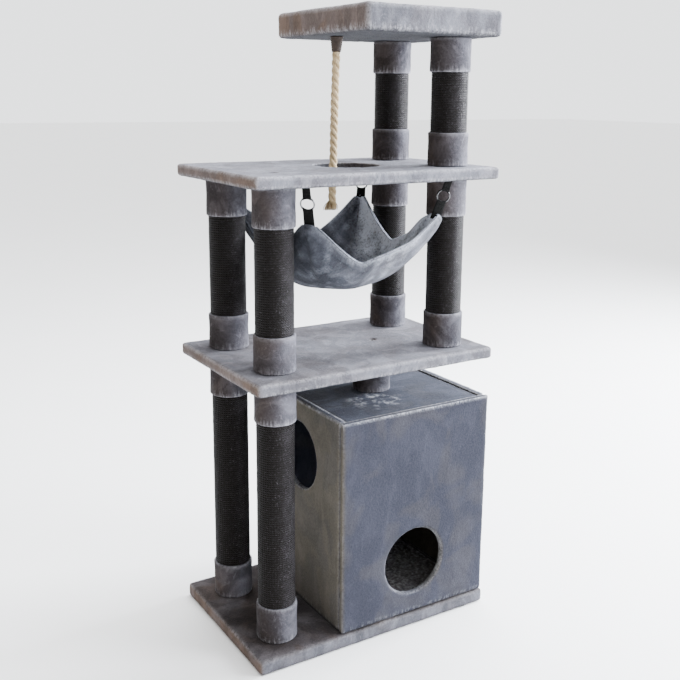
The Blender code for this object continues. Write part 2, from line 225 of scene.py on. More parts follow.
def plush(name, dark, light, warm, tips, streak=(1.0, 1.0, 0.45), contrast=1.0, sheen=0.06):
    """Short pile, paler where it is brushed up and at its edges and where light is painted on; browner and
    darker where shade is painted on.
    """
    shade = Shade.of_finish(name)
    place = shade.position()
    along = shade.stretched(place, streak)
    brushed = shade.cloud(along, 13.0, 4.0, 0.60, 1.3)
    strokes = shade.between(brushed, 0.45, 0.62)
    flecks = shade.between(shade.cloud(along, 52.0, 3.0, 0.65, 1.6), 0.58, 0.70)
    shadowed = shade.between(shade.cloud(place, 5.0, 3.0, 0.55, 0.6), 0.42, 0.60)
    fibre = shade.cloud(place, 700.0, 2.0, 0.6)
    tuft = shade.cloud(place, 190.0, 3.0, 0.6, 0.4)
    teased = shade.cloud(shade.stretched(place, (1.0, 1.0, 0.16)), 150.0, 3.0, 0.6, 0.5)
    # this layer holds both brushed-up pile and painted light
    raised = shade.painted("raised_pile")
    fringe = shade.painted("fringe") * shade.between(teased, 0.47, 0.62)
    # painted shade: one painted layer makes the sides that face left and back, and some tops, browner and
    # darker; the under layer darkens undersides, tops, fronts and hole walls
    lay = shade.painted("lay")
    under = shade.painted("under")
    # the level: pile tone, brushed-up pile and painted light lift it, and painted shade lowers it
    level = (0.30 + (strokes * 0.24 + flecks * 0.22 + shadowed * 0.14) * contrast
             + (fibre - 0.5) * 0.30 + (tuft - 0.5) * 0.42 + raised * 0.35 + fringe * 0.35
             - under * 0.30)
    cool = shade.blended(level.clamped(), dark, light)
    # brown: the pile's colour in its painted shade, and in random brown patches
    brown = shade.blended(level.clamped(), shade.blended(0.22, BLACK, warm), warm)
    cast = shade.between(shade.cloud(shade.stretched(place, (1.0, 0.8, 0.7)), 11.0, 2.0, 0.5, 0.7),
                         0.45, 0.62)
    shade_turn = (lay * 0.82 + cast * (lay * 0.18 + 0.14)).clamped()
    pile = shade.blended(shade_turn, cool, brown)
    # brushed-up pile and painted light take the colour toward the pale tips, further where the layer passes
    # 1
    standing = ((raised * 0.42 + fringe * 0.50) * shade.between(tuft, 0.30, 0.58)
                + (raised - 1.0).clamped() * 0.45)
    pale_tips_and_light = shade.blended(standing.clamped(), pile, tips)
    # painted shade: the under layer takes the colour toward this near-black shadow tone
    shadow_tone = shade.blended(0.30, BLACK, dark)
    colour = shade.blended((under * 0.88).clamped(), pale_tips_and_light, shadow_tone)
    height = tuft * 0.8 + fibre * 0.3 + brushed * 0.5
    return shade.finish(Base_Color=colour, Roughness=0.95, Sheen_Weight=sheen,
                        Sheen_Roughness=0.40, Sheen_Tint=(0.86, 0.89, 1.0),
                        Specular_IOR_Level=0.08, Normal=shade.relief(height, 0.0016))


POST_TUBE = 0.0410
POST_RADIUS = 0.0455
CORD_PITCH = 0.0056
CORD_STRAND = 0.0062


def wound_sisal(name, dark, light):
    """Dyed cord wound round a post whose axis is its object's Z axis; each turn shows its twist."""
    shade = Shade.of_finish(name)
    place = shade.position()
    x, y, z = shade.parts(place)
    turn = x.maths("ARCTAN2", y, x) / (2 * math.pi)
    across = (z / CORD_PITCH - turn).wrapped()
    length = turn * (2 * math.pi * POST_RADIUS / CORD_STRAND)
    twist = ((length + across * 0.9) * (2 * math.pi)).sine()
    crown = 1.0 - ((across - 0.5).size() * 2.0) ** 2.0
    fibre = shade.cloud(shade.stretched(place, (1.0, 1.0, 2.2)), 420.0, 4.0, 0.7)
    fuzz = shade.between(shade.cloud(place, 260.0, 4.0, 0.75, 0.8), 0.55, 0.70)
    patches = shade.cloud(place, 24.0, 3.0, 0.6)
    # painted shade: the post's side that faces left is darker
    painted_dark = shade.painted("lay")
    level = (crown * 0.08 + twist * 0.05 + (fibre - 0.5) * 0.9 + fuzz * 0.75
             + (patches - 0.5) * 0.4 - painted_dark * 0.34)
    colour = shade.blended(level.clamped(), dark, light)
    height = twist * 0.35 + fibre * 1.1 + fuzz * 0.8
    return shade.finish(Base_Color=colour, Roughness=0.60 - fuzz * 0.15, Sheen_Weight=0.02,
                        Sheen_Roughness=0.30, Sheen_Tint=(0.80, 0.86, 1.0),
                        Specular_IOR_Level=0.12, Normal=shade.relief(height, 0.0018))


def webbing_weave(name, dark, light, rib=0.0013):
    """Woven strap: ribs across it, read from its own lengthwise and crosswise coordinates."""
    shade = Shade.of_finish(name)
    along, across, _ = shade.parts(shade.node("ShaderNodeUVMap", {"uv_map": "weave"}, {}))
    ribs = (along * (2 * math.pi / rib)).sine()
    warp = (across * (2 * math.pi / (rib * 0.8)) + ribs * 0.9).sine()
    wear = shade.cloud(shade.position(), 340.0, 3.0, 0.6)
    level = 0.3 + ribs * 0.16 + warp * 0.2 + (wear - 0.5) * 0.5
    colour = shade.blended(level.clamped(), dark, light)
    return shade.finish(Base_Color=colour, Roughness=0.72, Specular_IOR_Level=0.10,
                        Normal=shade.relief(ribs * 0.5 + warp * 0.5, 0.0003))


def bright_metal(name, colour, dull, roughness):
    """Plated wire or steel with faint handling marks."""
    shade = Shade.of_finish(name)
    marks = shade.cloud(shade.position(), 420.0, 4.0, 0.65, 0.3)
    rough = roughness + (marks - 0.5) * 0.22
    tone = shade.blended(shade.between(marks, 0.5, 0.75) * 0.5, colour, dull)
    return shade.finish(Base_Color=tone, Metallic=1.0, Roughness=rough.clamped(),
                        Normal=shade.relief(marks, 0.00006))


def natural_sisal(name, dark, light, pale):
    """Undyed twisted rope: long fibres, paler on the strands' crowns."""
    shade = Shade.of_finish(name)
    place = shade.position()
    long_fibre = shade.cloud(shade.stretched(place, (1.0, 1.0, 0.22)), 620.0, 4.0, 0.65, 0.4)
    patches = shade.cloud(place, 60.0, 3.0, 0.55)
    crown = shade.painted("crown")
    level = 0.16 + crown * 0.55 + (long_fibre - 0.5) * 1.1 + (patches - 0.5) * 0.5
    body = shade.blended(level.clamped(), dark, light)
    colour = shade.blended(shade.between(long_fibre, 0.60, 0.74) * 0.6, body, pale)
    return shade.finish(Base_Color=colour, Roughness=0.88, Sheen_Weight=0.15,
                        Normal=shade.relief(long_fibre, 0.0009))


def wrapped_cuff(name, dark, light):
    """Dark waxed cord bound round the rope's top."""
    shade = Shade.of_finish(name)
    place = shade.position()
    grain = shade.cloud(shade.stretched(place, (1.0, 1.0, 3.0)), 480.0, 4.0, 0.65)
    patches = shade.cloud(place, 70.0, 2.0, 0.5)
    level = 0.2 + (grain - 0.5) * 1.2 + patches * 0.4
    return shade.finish(Base_Color=shade.blended(level.clamped(), dark, light), Roughness=0.7,
                        Normal=shade.relief(grain, 0.0006))


def make_finishes():
    return {
        "deck": plush("deck plush", (0.036, 0.036, 0.044), (0.258, 0.262, 0.302),
                      (0.172, 0.122, 0.097), (0.62, 0.62, 0.65)),
        "den": plush("den plush", (0.011, 0.012, 0.018), (0.068, 0.071, 0.096),
                     (0.170, 0.152, 0.124), (0.50, 0.51, 0.55), contrast=0.42, sheen=0.05),
        "lid": plush("den lid plush", (0.011, 0.012, 0.018), (0.085, 0.093, 0.126),
                     (0.165, 0.148, 0.122), (0.52, 0.53, 0.57), streak=(0.7, 1.2, 1.0),
                     contrast=0.85, sheen=0.05),
        "collar": plush("collar plush", (0.012, 0.011, 0.014), (0.150, 0.149, 0.177),
                        (0.115, 0.088, 0.078), (0.46, 0.46, 0.50), streak=(0.7, 0.7, 0.7),
                        contrast=1.45),
        "hammock": plush("hammock plush", (0.018, 0.020, 0.027), (0.235, 0.25, 0.305),
                         (0.115, 0.105, 0.100), (0.66, 0.71, 0.82), streak=(0.9, 0.9, 0.4)),
        "sisal": wound_sisal("charcoal sisal", (0.0056, 0.0043, 0.0038), (0.150, 0.140, 0.158)),
        "webbing": webbing_weave("black webbing", (0.0008, 0.0008, 0.0008), (0.006, 0.006, 0.006)),
        "thread": webbing_weave("black thread", (0.004, 0.004, 0.004), (0.03, 0.03, 0.03), 0.0006),
        "nickel": bright_metal("nickel", (0.11, 0.11, 0.115), (0.04, 0.04, 0.04), 0.24),
        "steel": bright_metal("zinc plate", (0.30, 0.30, 0.31), (0.15, 0.15, 0.15), 0.38),
        "rope": natural_sisal("natural sisal", (0.26, 0.17, 0.08), (0.58, 0.45, 0.27),
                              (0.76, 0.66, 0.50)),
        "cuff": wrapped_cuff("brown cuff", (0.009, 0.005, 0.003), (0.056, 0.032, 0.020)),
    }


# ---- making pieces


def into_scene(name, data):
    made = bpy.data.objects.new(name, data)
    bpy.context.scene.collection.objects.link(made)
    return made


def link(name, mesh, finish, body, replaced=(), place=(0, 0, 0)):
    """Names a finished mesh, gives it its finish, and fixes it to its body in the frame."""
    mesh.shade_smooth()
    made = into_scene(name, mesh)
    made.location = place
    mesh.name = name
    mesh.materials.clear()
    mesh.materials.append(finish)
    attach(made, body)
    if replaced:
        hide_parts(*replaced)
    return made


def mesh_of(points, faces):
    mesh = bpy.data.meshes.new("made")
    mesh.from_pydata([tuple(point) for point in points], [], faces)
    mesh.update()
    return mesh


def mesh_from(shape):
    mesh = bpy.data.meshes.new("made")
    shape.to_mesh(mesh)
    shape.free()
    return mesh


def settled(source, modifiers):
    """The mesh that source becomes through these modifiers; each is (kind, settings)."""
    carrier = into_scene("carrier", source)
    for kind, settings in modifiers:
        modifier = carrier.modifiers.new(kind.lower(), kind)
        for key, value in settings.items():
            setattr(modifier, key, value)
    shapes = bpy.context.evaluated_depsgraph_get()
    made = bpy.data.meshes.new_from_object(carrier.evaluated_get(shapes))
    bpy.data.objects.remove(carrier)
    return made


def points_of(mesh):
    flat = np.empty(len(mesh.vertices) * 3)
    mesh.vertices.foreach_get("co", flat)
    return flat.reshape(-1, 3)


def directions_of(mesh):
    flat = np.empty(len(mesh.vertices) * 3)
    mesh.vertex_normals.foreach_get("vector", flat)
    return flat.reshape(-1, 3)


def move_points(mesh, points):
    mesh.vertices.foreach_set("co", np.asarray(points, dtype=np.float32).ravel())
    mesh.update()


def paint(mesh, **layers):
    """Stores one number for each vertex under each name, which a finish can read."""
    for name, levels in layers.items():
        layer = mesh.attributes.new(name, "FLOAT", "POINT")
        layer.data.foreach_set("value", np.asarray(levels, dtype=np.float32))


def lumps(points, spacing, seed):
    """Smooth noise from -1 to 1 with about this spacing, at each point."""
    offset = Vector((seed * 7.3, seed * 3.1, seed * 5.7))
    return np.array([noise.noise(Vector(point) / spacing + offset) for point in points])


def round_turn(sides):
    return [2 * math.pi * side / sides for side in range(sides)]


def spoke(angle, reach, height=0.0):
    """The point at this angle round the Z axis, this far out from it and this high."""
    return Vector((math.cos(angle) * reach, math.sin(angle) * reach, height))


def unit(levels):
    return np.clip(levels, 0, 1)


def hump(places, middle_at, width):
    """1 at one place, fading smoothly to 0 on both sides of it."""
    return np.exp(-((places - middle_at) / width) ** 2)


def grid_faces(rows, columns):
    """Quads over a grid of points stored row by row."""
    faces = []
    for row in range(rows - 1):
        for column in range(columns - 1):
            here, there = row * columns + column, (row + 1) * columns + column
            faces.append((here, here + 1, there + 1, there))
    return faces


def tube_faces(rows, sides, start=0, capped=True):
    """Quads round a tube whose points are stored ring by ring, and a face over each end."""
    faces = []
    for row in range(rows - 1):
        here, there = start + row * sides, start + (row + 1) * sides
        for side in range(sides):
            after = (side + 1) % sides
            faces.append((here + side, there + side, there + after, here + after))
    if capped:
        last = start + (rows - 1) * sides
        faces.append(tuple(start + side for side in range(sides)))
        faces.append(tuple(last + side for side in reversed(range(sides))))
    return faces


def drilled(block, cylinders):
    """block with each (centre, axis, radius, depth) cylinder cut out of it."""
    tools = []
    for centre, axis, radius, depth in cylinders:
        shape = bmesh.new()
        turn = axis.to_track_quat("Z", "Y").to_matrix().to_4x4()
        bmesh.ops.create_cone(shape, cap_ends=True, segments=48, radius1=radius, radius2=radius,
                              depth=depth, matrix=Matrix.Translation(centre) @ turn)
        tools.append(into_scene("tool", mesh_from(shape)))
    made = settled(block, [("BOOLEAN", {"operation": "DIFFERENCE", "object": tool}) for tool in tools])
    for tool in tools:
        bpy.data.objects.remove(tool)
    return made


# ---- plush boards

PILE = 0.0004
BOARD_VOXEL = 0.004
SINK_RADIUS = 0.0092
SINK_DEPTH = 0.018
RIGHT_THROUGH = 0.2
EDGE_BAND = 0.010
HEAD_BAND = 0.006


def plush_block(low, high, edge):
    """A box with rounded edges, a little inside its CAD solid, to leave room for the pile."""
    low, high = low + Vector((PILE,) * 3), high - Vector((PILE,) * 3)
    shape = bmesh.new()
    bmesh.ops.create_cube(shape, size=1.0)
    bmesh.ops.scale(shape, vec=high - low, verts=shape.verts)
    bmesh.ops.translate(shape, vec=(low + high) / 2, verts=shape.verts)
    bmesh.ops.bevel(shape, geom=shape.edges[:], offset=edge, segments=4, affect="EDGES", profile=0.5)
    return mesh_from(shape)


def edge_nearness(points, low, high, reach):
    """1 on a box's edges, fading to 0 within reach of them."""
    gaps = np.minimum(points - np.array(low), np.array(high) - points)
    second = np.sort(gaps, axis=1)[:, 1]
    return unit(1.0 - second / reach)


def sink_holes(node):
    """The pockets of a deck's bolts, as cylinders to cut."""
    low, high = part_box(node)
    holes = []
    for bolt in SINKS.get(node, ()):
        place = middle(bolt)
        from_below = node == "base_deck" or bolt.startswith("middle_bolt")
        place.z = low.z if from_below else high.z
        holes.append((place, Vector((0, 0, 1)), SINK_RADIUS, SINK_DEPTH))
    return holes


def past_rim(points, node):
    """How far each point is from the rim of its board's round hole: less than 0 inside it."""
    if node not in DOORWAYS:
        return np.full(len(points), np.inf)
    centre, axis, radius = DOORWAYS[node]
    offset = points - np.array(centre)
    offset -= np.outer(offset @ np.array(axis), np.array(axis))
    return np.linalg.norm(offset, axis=1) - radius


def hole_wall_shade(points, facings, node):
    """How much painted shade darkens the inner wall of a board's round hole, and 0 elsewhere."""
    if node not in DOORWAYS:
        return np.zeros(len(points))
    along = np.abs(facings @ np.array(DOORWAYS[node][1]))
    wall_shade = 0.95 if node == "upper_deck" else 0.4
    return ((past_rim(points, node) < 0.004) & (along < 0.6)) * wall_shade


def inside_den(points):
    """1 for the points that the den's walls stand round, else 0."""
    low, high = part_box("den_lid")
    return ((points[:, :2] > np.array(low)[:2]) & (points[:, :2] < np.array(high)[:2])).all(axis=1) * 1.0


def scuffs(points, facings, node):
    """Where the den's lid has been rubbed pale, in front of the short post that stands on it."""
    if node != "den_lid":
        return np.zeros(len(points))
    post = middle("short_post")
    gap = np.hypot(points[:, 0] - post.x + 0.045, points[:, 1] - post.y + 0.085)
    marks = lumps(points, 0.020, 77) + lumps(points, 0.007, 78) * 0.6 + 0.02
    return unit(marks) * 2.6 * unit(1.5 - gap / 0.055) * (facings[:, 2] > 0.8)


def painted_shade_side(facings):
    """How much painted shade a side gets, from 0 to 1: the sides that face left and back get it."""
    return unit(-facings[:, 0] + unit(facings[:, 1]) * 0.5)


def plush_board(node, finish, seed, edge=0.006, puff=0.0009, reach=0.010, weights=(1, 1, 1),
                foot_reach=0.010, top_shade=0.0, front_dim=0.0):
    """A board wrapped in plush. The weights say how pale its top, its upright and its low edges are,
    top_shade how much painted shade its top gets, and front_dim how much painted shade darkens its front."""
    low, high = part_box(node)
    holes = sink_holes(node)
    if node in DOORWAYS:
        centre, axis, radius = DOORWAYS[node]
        holes.append((centre, axis, radius + PILE, RIGHT_THROUGH))
    block = plush_block(low, high, edge)
    if holes:
        block = drilled(block, holes)
    mesh = settled(block, [("REMESH", {"mode": "VOXEL", "voxel_size": BOARD_VOXEL}),
                           ("SMOOTH", {"iterations": 2, "factor": 0.5})])
    points = points_of(mesh)
    facings = directions_of(mesh)
    swell = lumps(points, 0.085, seed) * 0.8 + lumps(points, 0.024, seed + 1) * 0.5
    tufts = lumps(points, 0.0075, seed + 2)
    top_edge, upright, low_edge = weights
    near_top = unit(1.6 - (high.z - points[:, 2]) / EDGE_BAND)
    near_foot = unit(1.6 - (points[:, 2] - low.z) / EDGE_BAND)
    weight = upright + (top_edge - upright) * near_top + (low_edge - upright) * near_foot
    edges = edge_nearness(points, low, high, reach)
    rim = unit(1.0 - np.abs(past_rim(points, node)) / (reach * 0.6))
    raised = np.maximum(edges * weight, rim * min(top_edge, 1.3))
    ridge = unit(edges * weight - 0.6) * max(top_edge - 1, 0) * 0.0020
    standing = swell * puff + unit(tufts) * (0.0003 + 0.0012 * edges) + ridge
    points = points + facings * standing[:, None]
    move_points(mesh, points)
    patchy = 0.65 + 0.5 * lumps(points, 0.026, seed + 3)
    upright_face = np.abs(facings[:, 2]) < 0.8
    foot = unit(1.0 - (points[:, 2] - low.z) / foot_reach) * upright_face
    head = unit(1.0 - (high.z - points[:, 2]) / HEAD_BAND) * upright_face
    raised = raised * patchy + scuffs(points, facings, node)
    # painted light: the base deck's top inside the den is paler
    if node == "base_deck":
        raised += inside_den(points) * (facings[:, 2] > 0.5) * (1.0 + tufts * 1.5)
    fringe = unit(np.maximum(foot * low_edge, head * 0.5 * top_edge))
    # painted shade: the top is darker in patches, less inside the den, and the underside, the front and the
    # hole's wall are darker
    patches = (0.7 + 0.6 * lumps(points, 0.10, seed + 4)) * (1 - 0.6 * inside_den(points))
    painted_dark = unit(facings[:, 2]) * top_shade * patches
    shaded = unit(-facings[:, 2]) + painted_dark * 0.9 + unit(-facings[:, 1]) * front_dim
    paint(mesh, raised_pile=raised.clip(0, 2.2), fringe=fringe, lay=np.maximum(painted_shade_side(facings), painted_dark),
          under=np.maximum(shaded, hole_wall_shade(points, facings, node)))
    link(node + "_plush", mesh, finish, "frame", [node])


def make_boards(finishes):
    # painted shade on the base and middle decks' tops and on the fronts of these and the platform
    plush_board("base_deck", finishes["deck"], 0, weights=(0.6, 0.3, 0.3), top_shade=1.0,
                front_dim=0.28)
    plush_board("middle_deck", finishes["deck"], 10, top_shade=0.26, front_dim=0.12)
    plush_board("upper_deck", finishes["deck"], 20)
    plush_board("lounging_platform", finishes["deck"], 40, edge=0.010, puff=0.0014,
                reach=0.014, foot_reach=0.022, front_dim=0.16)
    for seed, node in enumerate(DEN_PANELS):
        finish = finishes["lid" if node == "den_lid" else "den"]
        plush_board(node, finish, 50 + seed * 10, edge=0.0055, puff=0.0007,
                    reach=0.006, weights=(2.5, 0.4, 0.45), foot_reach=0.018)


# ---- posts

WINDING_SIDES = 56
CORD_STEPS = 6
WINDING_TUCK = 0.004


def wound_post(node, finish):
    """The sisal between a post's two collars: one cord, turn against turn, as a single helix."""
    low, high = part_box(node + "_low_collar")[1].z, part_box(node + "_high_collar")[0].z
    start, length = low - WINDING_TUCK, high - low + 2 * WINDING_TUCK
    centre = middle(node)
    cord = POST_RADIUS - POST_TUBE
    levels = int(length / CORD_PITCH * CORD_STEPS)
    rows = []
    for level in range(levels + 1):
        across = (level % CORD_STEPS) / CORD_STEPS
        bulge = math.sqrt(max(0.0, 1.0 - (2 * across - 1) ** 2))
        turn_number = level // CORD_STEPS
        for side in range(WINDING_SIDES + 1):
            turn = side / WINDING_SIDES
            angle = 2 * math.pi * turn
            slack = noise.noise(Vector((turn_number * 0.7 + turn * 0.7, angle * 1.3, centre.x * 9)))
            radius = POST_TUBE + cord * (0.52 + 0.48 * bulge) - 0.0003 + 0.0003 * slack
            height = (level / CORD_STEPS + turn) * CORD_PITCH
            rows.append(spoke(angle, radius, height))
    shape = bmesh.new()
    shape.from_mesh(mesh_of(rows, grid_faces(levels + 1, WINDING_SIDES + 1)))
    bmesh.ops.remove_doubles(shape, verts=shape.verts, dist=0.00001)
    mesh = mesh_from(shape)
    # painted shade on the winding's side that faces left, less deep on the upper posts
    depth, shade_turn = (0.55, -0.10) if node.startswith("upper") else (1.0, 0.05)
    paint(mesh, lay=unit(shade_turn - points_of(mesh)[:, 0] / POST_RADIUS) * depth)
    link(node + "_winding", mesh, finish, "frame", [node],
         (centre.x, centre.y, start))


COLLAR_SIDES = 96
COLLAR_ROLL = 0.0042
ROLL_STEPS = 5
WAIST_STEPS = 12


def soft_band(low, high, outer, inner):
    """(radius, height) points down the outside of a plush band with rolled ends."""
    roll = COLLAR_ROLL
    rolled = [math.pi / 2 * step / ROLL_STEPS for step in range(ROLL_STEPS + 1)]
    profile = [(inner, high - 0.001)]
    for angle in rolled:
        profile.append((outer - roll + roll * math.sin(angle), high - roll + roll * math.cos(angle)))
    for step in range(1, WAIST_STEPS):
        share = step / WAIST_STEPS
        profile.append((outer - 0.0006 * math.sin(math.pi * share),
                        high - roll - (high - low - 2 * roll) * share))
    for angle in rolled:
        profile.append((outer - roll + roll * math.cos(angle), low + roll - roll * math.sin(angle)))
    profile.append((inner, low + 0.001))
    return profile


def plush_collar(node, finish, seed, inner):
    """A band of plush round a post's end, with its seam on the far side."""
    low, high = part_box(node)
    axis = Vector((middle(node).x, middle(node).y, 0))
    outer = (high.x - low.x) / 2
    profile = soft_band(low.z, high.z, outer - PILE, inner)
    points = []
    for radius, height in profile:
        for angle in round_turn(COLLAR_SIDES):
            spot = spoke(angle, outer, height)
            wave = noise.noise(spot / 0.030 + Vector((seed, 0, 0))) * 0.0007
            wave += noise.noise(spot / 0.010 + Vector((0, seed, 0))) * 0.00035
            seam = math.exp(-((angle - math.pi * 0.62) / 0.035) ** 2) * 0.0014
            reach = radius + (wave - seam if radius > inner else 0.0)
            points.append(axis + spoke(angle, reach, height + wave * 0.5))
    mesh = mesh_of(points, tube_faces(len(profile), COLLAR_SIDES, capped=False))
    placed = points_of(mesh)
    ends = np.minimum(placed[:, 2] - low.z, high.z - placed[:, 2])
    raised = unit(1.0 - ends / 0.007) * (0.6 + 0.5 * lumps(placed, 0.02, seed))
    foot = unit(1.0 - (placed[:, 2] - low.z) / 0.020)
    # painted shade: the collar's sides that face left and back are browner and darker
    lay = painted_shade_side(directions_of(mesh))
    paint(mesh, raised_pile=unit(raised), fringe=foot * 0.7, lay=lay * 0.8, under=lay * 0.45)
    link(node + "_plush", mesh, finish, "frame", [node])


def make_posts(finishes):
    for seed, node in enumerate(POSTS):
        wound_post(node, finishes["sisal"])
        for end in ("_low_collar", "_high_collar"):
            plush_collar(node + end, finishes["collar"], seed * 2.3 + len(end), POST_TUBE + 0.001)
    plush_collar("short_post", finishes["collar"], 31.0, 0.010)


# ---- hammock

HAMMOCK_FLAT = (0.440, 0.425)
HAMMOCK_CELLS = 48
HAMMOCK_LOW = 0.868
HAMMOCK_CLOTH = 0.0075
HEM = 0.017
CORNER_CUT = 0.078
RIM_PULL = 0.06
SIDE_RIMS = (0.38, 0.44)
END_RIMS = (0.385, 0.40)
RIM_CURVE = 1.25
BED_CURVE = 3.5
SIDE_BULGE = 0.008
GUTTER = 0.052
BACK_CORNER_LIFT = 0.018
GRIPPED = 0.86
HANG_FRAMES = 50
SETTLED_SHARE = 0.55
CLOTH_SETTINGS = {
    "quality": 8,
    "mass": 0.30,
    "tension_stiffness": 30,
    "compression_stiffness": 12,
    "shear_stiffness": 5,
    "bending_stiffness": 6.0,
    "tension_damping": 20,
    "compression_damping": 20,
    "bending_damping": 2,
    "air_damping": 4,
    "vertex_group_mass": "grips",
}


def hanger_points(corner):
    """Where a hanger's joints are: deck, ring's top, ring's foot, hammock's corner."""
    lead = corner == "front_left"
    top = JOINTS["hammock_forward_swing" if lead else f"upper_webbing_{corner}_swing"]["pos_m"]
    ring = JOINTS["hammock_sideways_swing" if lead else f"ring_{corner}_turn"]["pos_m"]
    foot = JOINTS[f"lower_webbing_{corner}_turn"]["pos_m"]
    tip = JOINTS["hammock_corner_turn"]["pos_m"]
    sx, sy = CORNERS[corner]
    return Vector(top), Vector(ring), Vector(foot), Vector((abs(tip[0]) * sx, abs(tip[1]) * sy, tip[2]))


def hammock_rise(u, v):
    """How far up a point lies, from 0 at the bed's middle to 1 at a corner; u, v run from -1 to 1."""
    s, t = abs(u), abs(v)
    side_rim = SIDE_RIMS[u > 0]
    end_rim = END_RIMS[v > 0]
    side, end = s ** BED_CURVE, t ** BED_CURVE
    both = (side_rim + end_rim) / 2
    rims = side_rim * side * (1 - end) + end_rim * end * (1 - side)
    return rims + both * side * end + (1 - both) * (s * t) ** RIM_CURVE


def sag_at_corner(u, v):
    """How far the sheet hangs outside the straight line between its two rims, near a corner."""
    s, t = abs(u), abs(v)
    return GUTTER * (1 - max(s, t) ** 9) * (s * t) ** 1.4


def rounded(u, v):
    """Rounds the sheet's corners off: the square's point (1, 1) moves in to where it is held."""
    shrink = 1 - CORNER_CUT * abs(u * v) ** 9
    return u * shrink, v * shrink


def hammock_sheet():
    """The cut sheet as a grid: its hanging start, its flat shape, and which points are held."""
    cells = HAMMOCK_CELLS
    _, _, _, tip = hanger_points("front_left")
    held_at = 1 - CORNER_CUT
    pull = held_at * (1 - RIM_PULL * (1 - held_at * held_at))
    span_x, span_y = abs(tip.x) / pull, abs(tip.y) / pull
    rim_top = HAMMOCK_LOW + (tip.z - HAMMOCK_LOW) / hammock_rise(held_at, held_at)
    hanging, flat, held = [], [], []
    for i in range(cells + 1):
        for j in range(cells + 1):
            square_u, square_v = 2 * i / cells - 1, 2 * j / cells - 1
            u, v = rounded(square_u, square_v)
            lean_u = u + 0.24 * (1 - u * u) ** 2 * max(0.0, -v) ** 3
            lean_v = v - 0.16 * (1 - v * v) ** 2 * (1 + u) / 2
            rise = hammock_rise(lean_u, lean_v)
            bulge = SIDE_BULGE * 4 * rise * (1 - rise)
            sag = sag_at_corner(square_u, square_v)
            x = span_x * u * (1 - RIM_PULL * (1 - v * v)) + bulge * u * abs(u)
            y = span_y * v * (1 - RIM_PULL * (1 - u * u)) + bulge * v * abs(v)
            x += math.copysign(sag * (0.30 if u > 0 > v else 0.44), u)
            y += math.copysign(sag * 0.50, v)
            lift = BACK_CORNER_LIFT * max(0.0, u * v if u > 0 else 0.0) ** 3
            z = HAMMOCK_LOW + (rim_top - HAMMOCK_LOW) * rise - sag * 0.45 + lift
            hanging.append((x, y, z))
            flat.append((HAMMOCK_FLAT[0] / 2 * u, HAMMOCK_FLAT[1] / 2 * v, 1.0))
            held.append(abs(square_u * square_v) > GRIPPED)
    return hanging, flat, held


def puffed(u, v):
    """How the sheet moves off its even hang: the right panel stands up beside the front right corner
    and the front one drops, the back right corner is a little higher, and the right rim bows inwards."""
    up = unit(u) ** 4 * hump(v, -0.50, 0.30)
    down = unit(-v) ** 1.5 * hump(u, 0.50, 0.30)
    back = unit(u) ** 6 * unit(v) ** 6
    rise = up * 0.011 - down * 0.017 + back * 0.009
    inward = unit(u) ** 4 * (hump(v, -0.62, 0.38) * 0.0095 + hump(v, 0.70, 0.35) * 0.0060)
    return np.stack([-inward, np.zeros_like(rise), rise], axis=1)


def hang_cloth(mesh, flat, held):
    """Lets the sheet hang from its corners under its own weight, and returns where it settles."""
    hanging = into_scene("hanging cloth", mesh)
    grips = hanging.vertex_groups.new(name="grips")
    grips.add([i for i, is_held in enumerate(held) if is_held], 1.0, "REPLACE")
    hanging.shape_key_add(name="Basis")
    cut = hanging.shape_key_add(name="cut")
    for point, place in zip(cut.data, flat):
        point.co = place
    cloth = hanging.modifiers.new("cloth", "CLOTH")
    for key, value in CLOTH_SETTINGS.items():
        setattr(cloth.settings, key, value)
    cloth.settings.rest_shape_key = cut
    scene = bpy.context.scene
    for timed in (scene, cloth.point_cache):
        timed.frame_start, timed.frame_end = 1, HANG_FRAMES
    for frame_number in range(1, HANG_FRAMES + 1):
        scene.frame_set(frame_number)
    shapes = bpy.context.evaluated_depsgraph_get()
    made = bpy.data.meshes.new_from_object(hanging.evaluated_get(shapes))
    places = points_of(made)
    scene.frame_set(1)
    bpy.data.objects.remove(hanging)
    return places


def curve_weights(positions, count):
    """Rows of weights that read a smooth curve through count points at these positions."""
    rows = np.zeros((len(positions), count))
    for row, position in zip(rows, positions):
        first = min(int(position), count - 2)
        t = position - first
        weights = ((-t + 2 * t * t - t ** 3) / 2, (2 - 5 * t * t + 3 * t ** 3) / 2,
                   (t + 4 * t * t - 3 * t ** 3) / 2, (t ** 3 - t * t) / 2)
        for offset, weight in zip((-1, 0, 1, 2), weights):
            row[min(max(first + offset, 0), count - 1)] += weight
    return rows


def sheet_lines(width):
    """Where the finished sheet's grid lines lie across its width: close together at the hem's seam."""
    near_rim = [0.0, 0.003, 0.007, 0.011, HEM - 0.0030, HEM - 0.0012, HEM, HEM + 0.0012,
                HEM + 0.0030, 0.025, 0.030]
    inner = np.linspace(0.035, width - 0.035, 76)
    return np.array([*near_rim, *inner, *(width - line for line in reversed(near_rim))])


def grid_normals(grid):
    normals = np.cross(np.gradient(grid, axis=0), np.gradient(grid, axis=1))
    return normals / np.linalg.norm(normals, axis=2, keepdims=True)


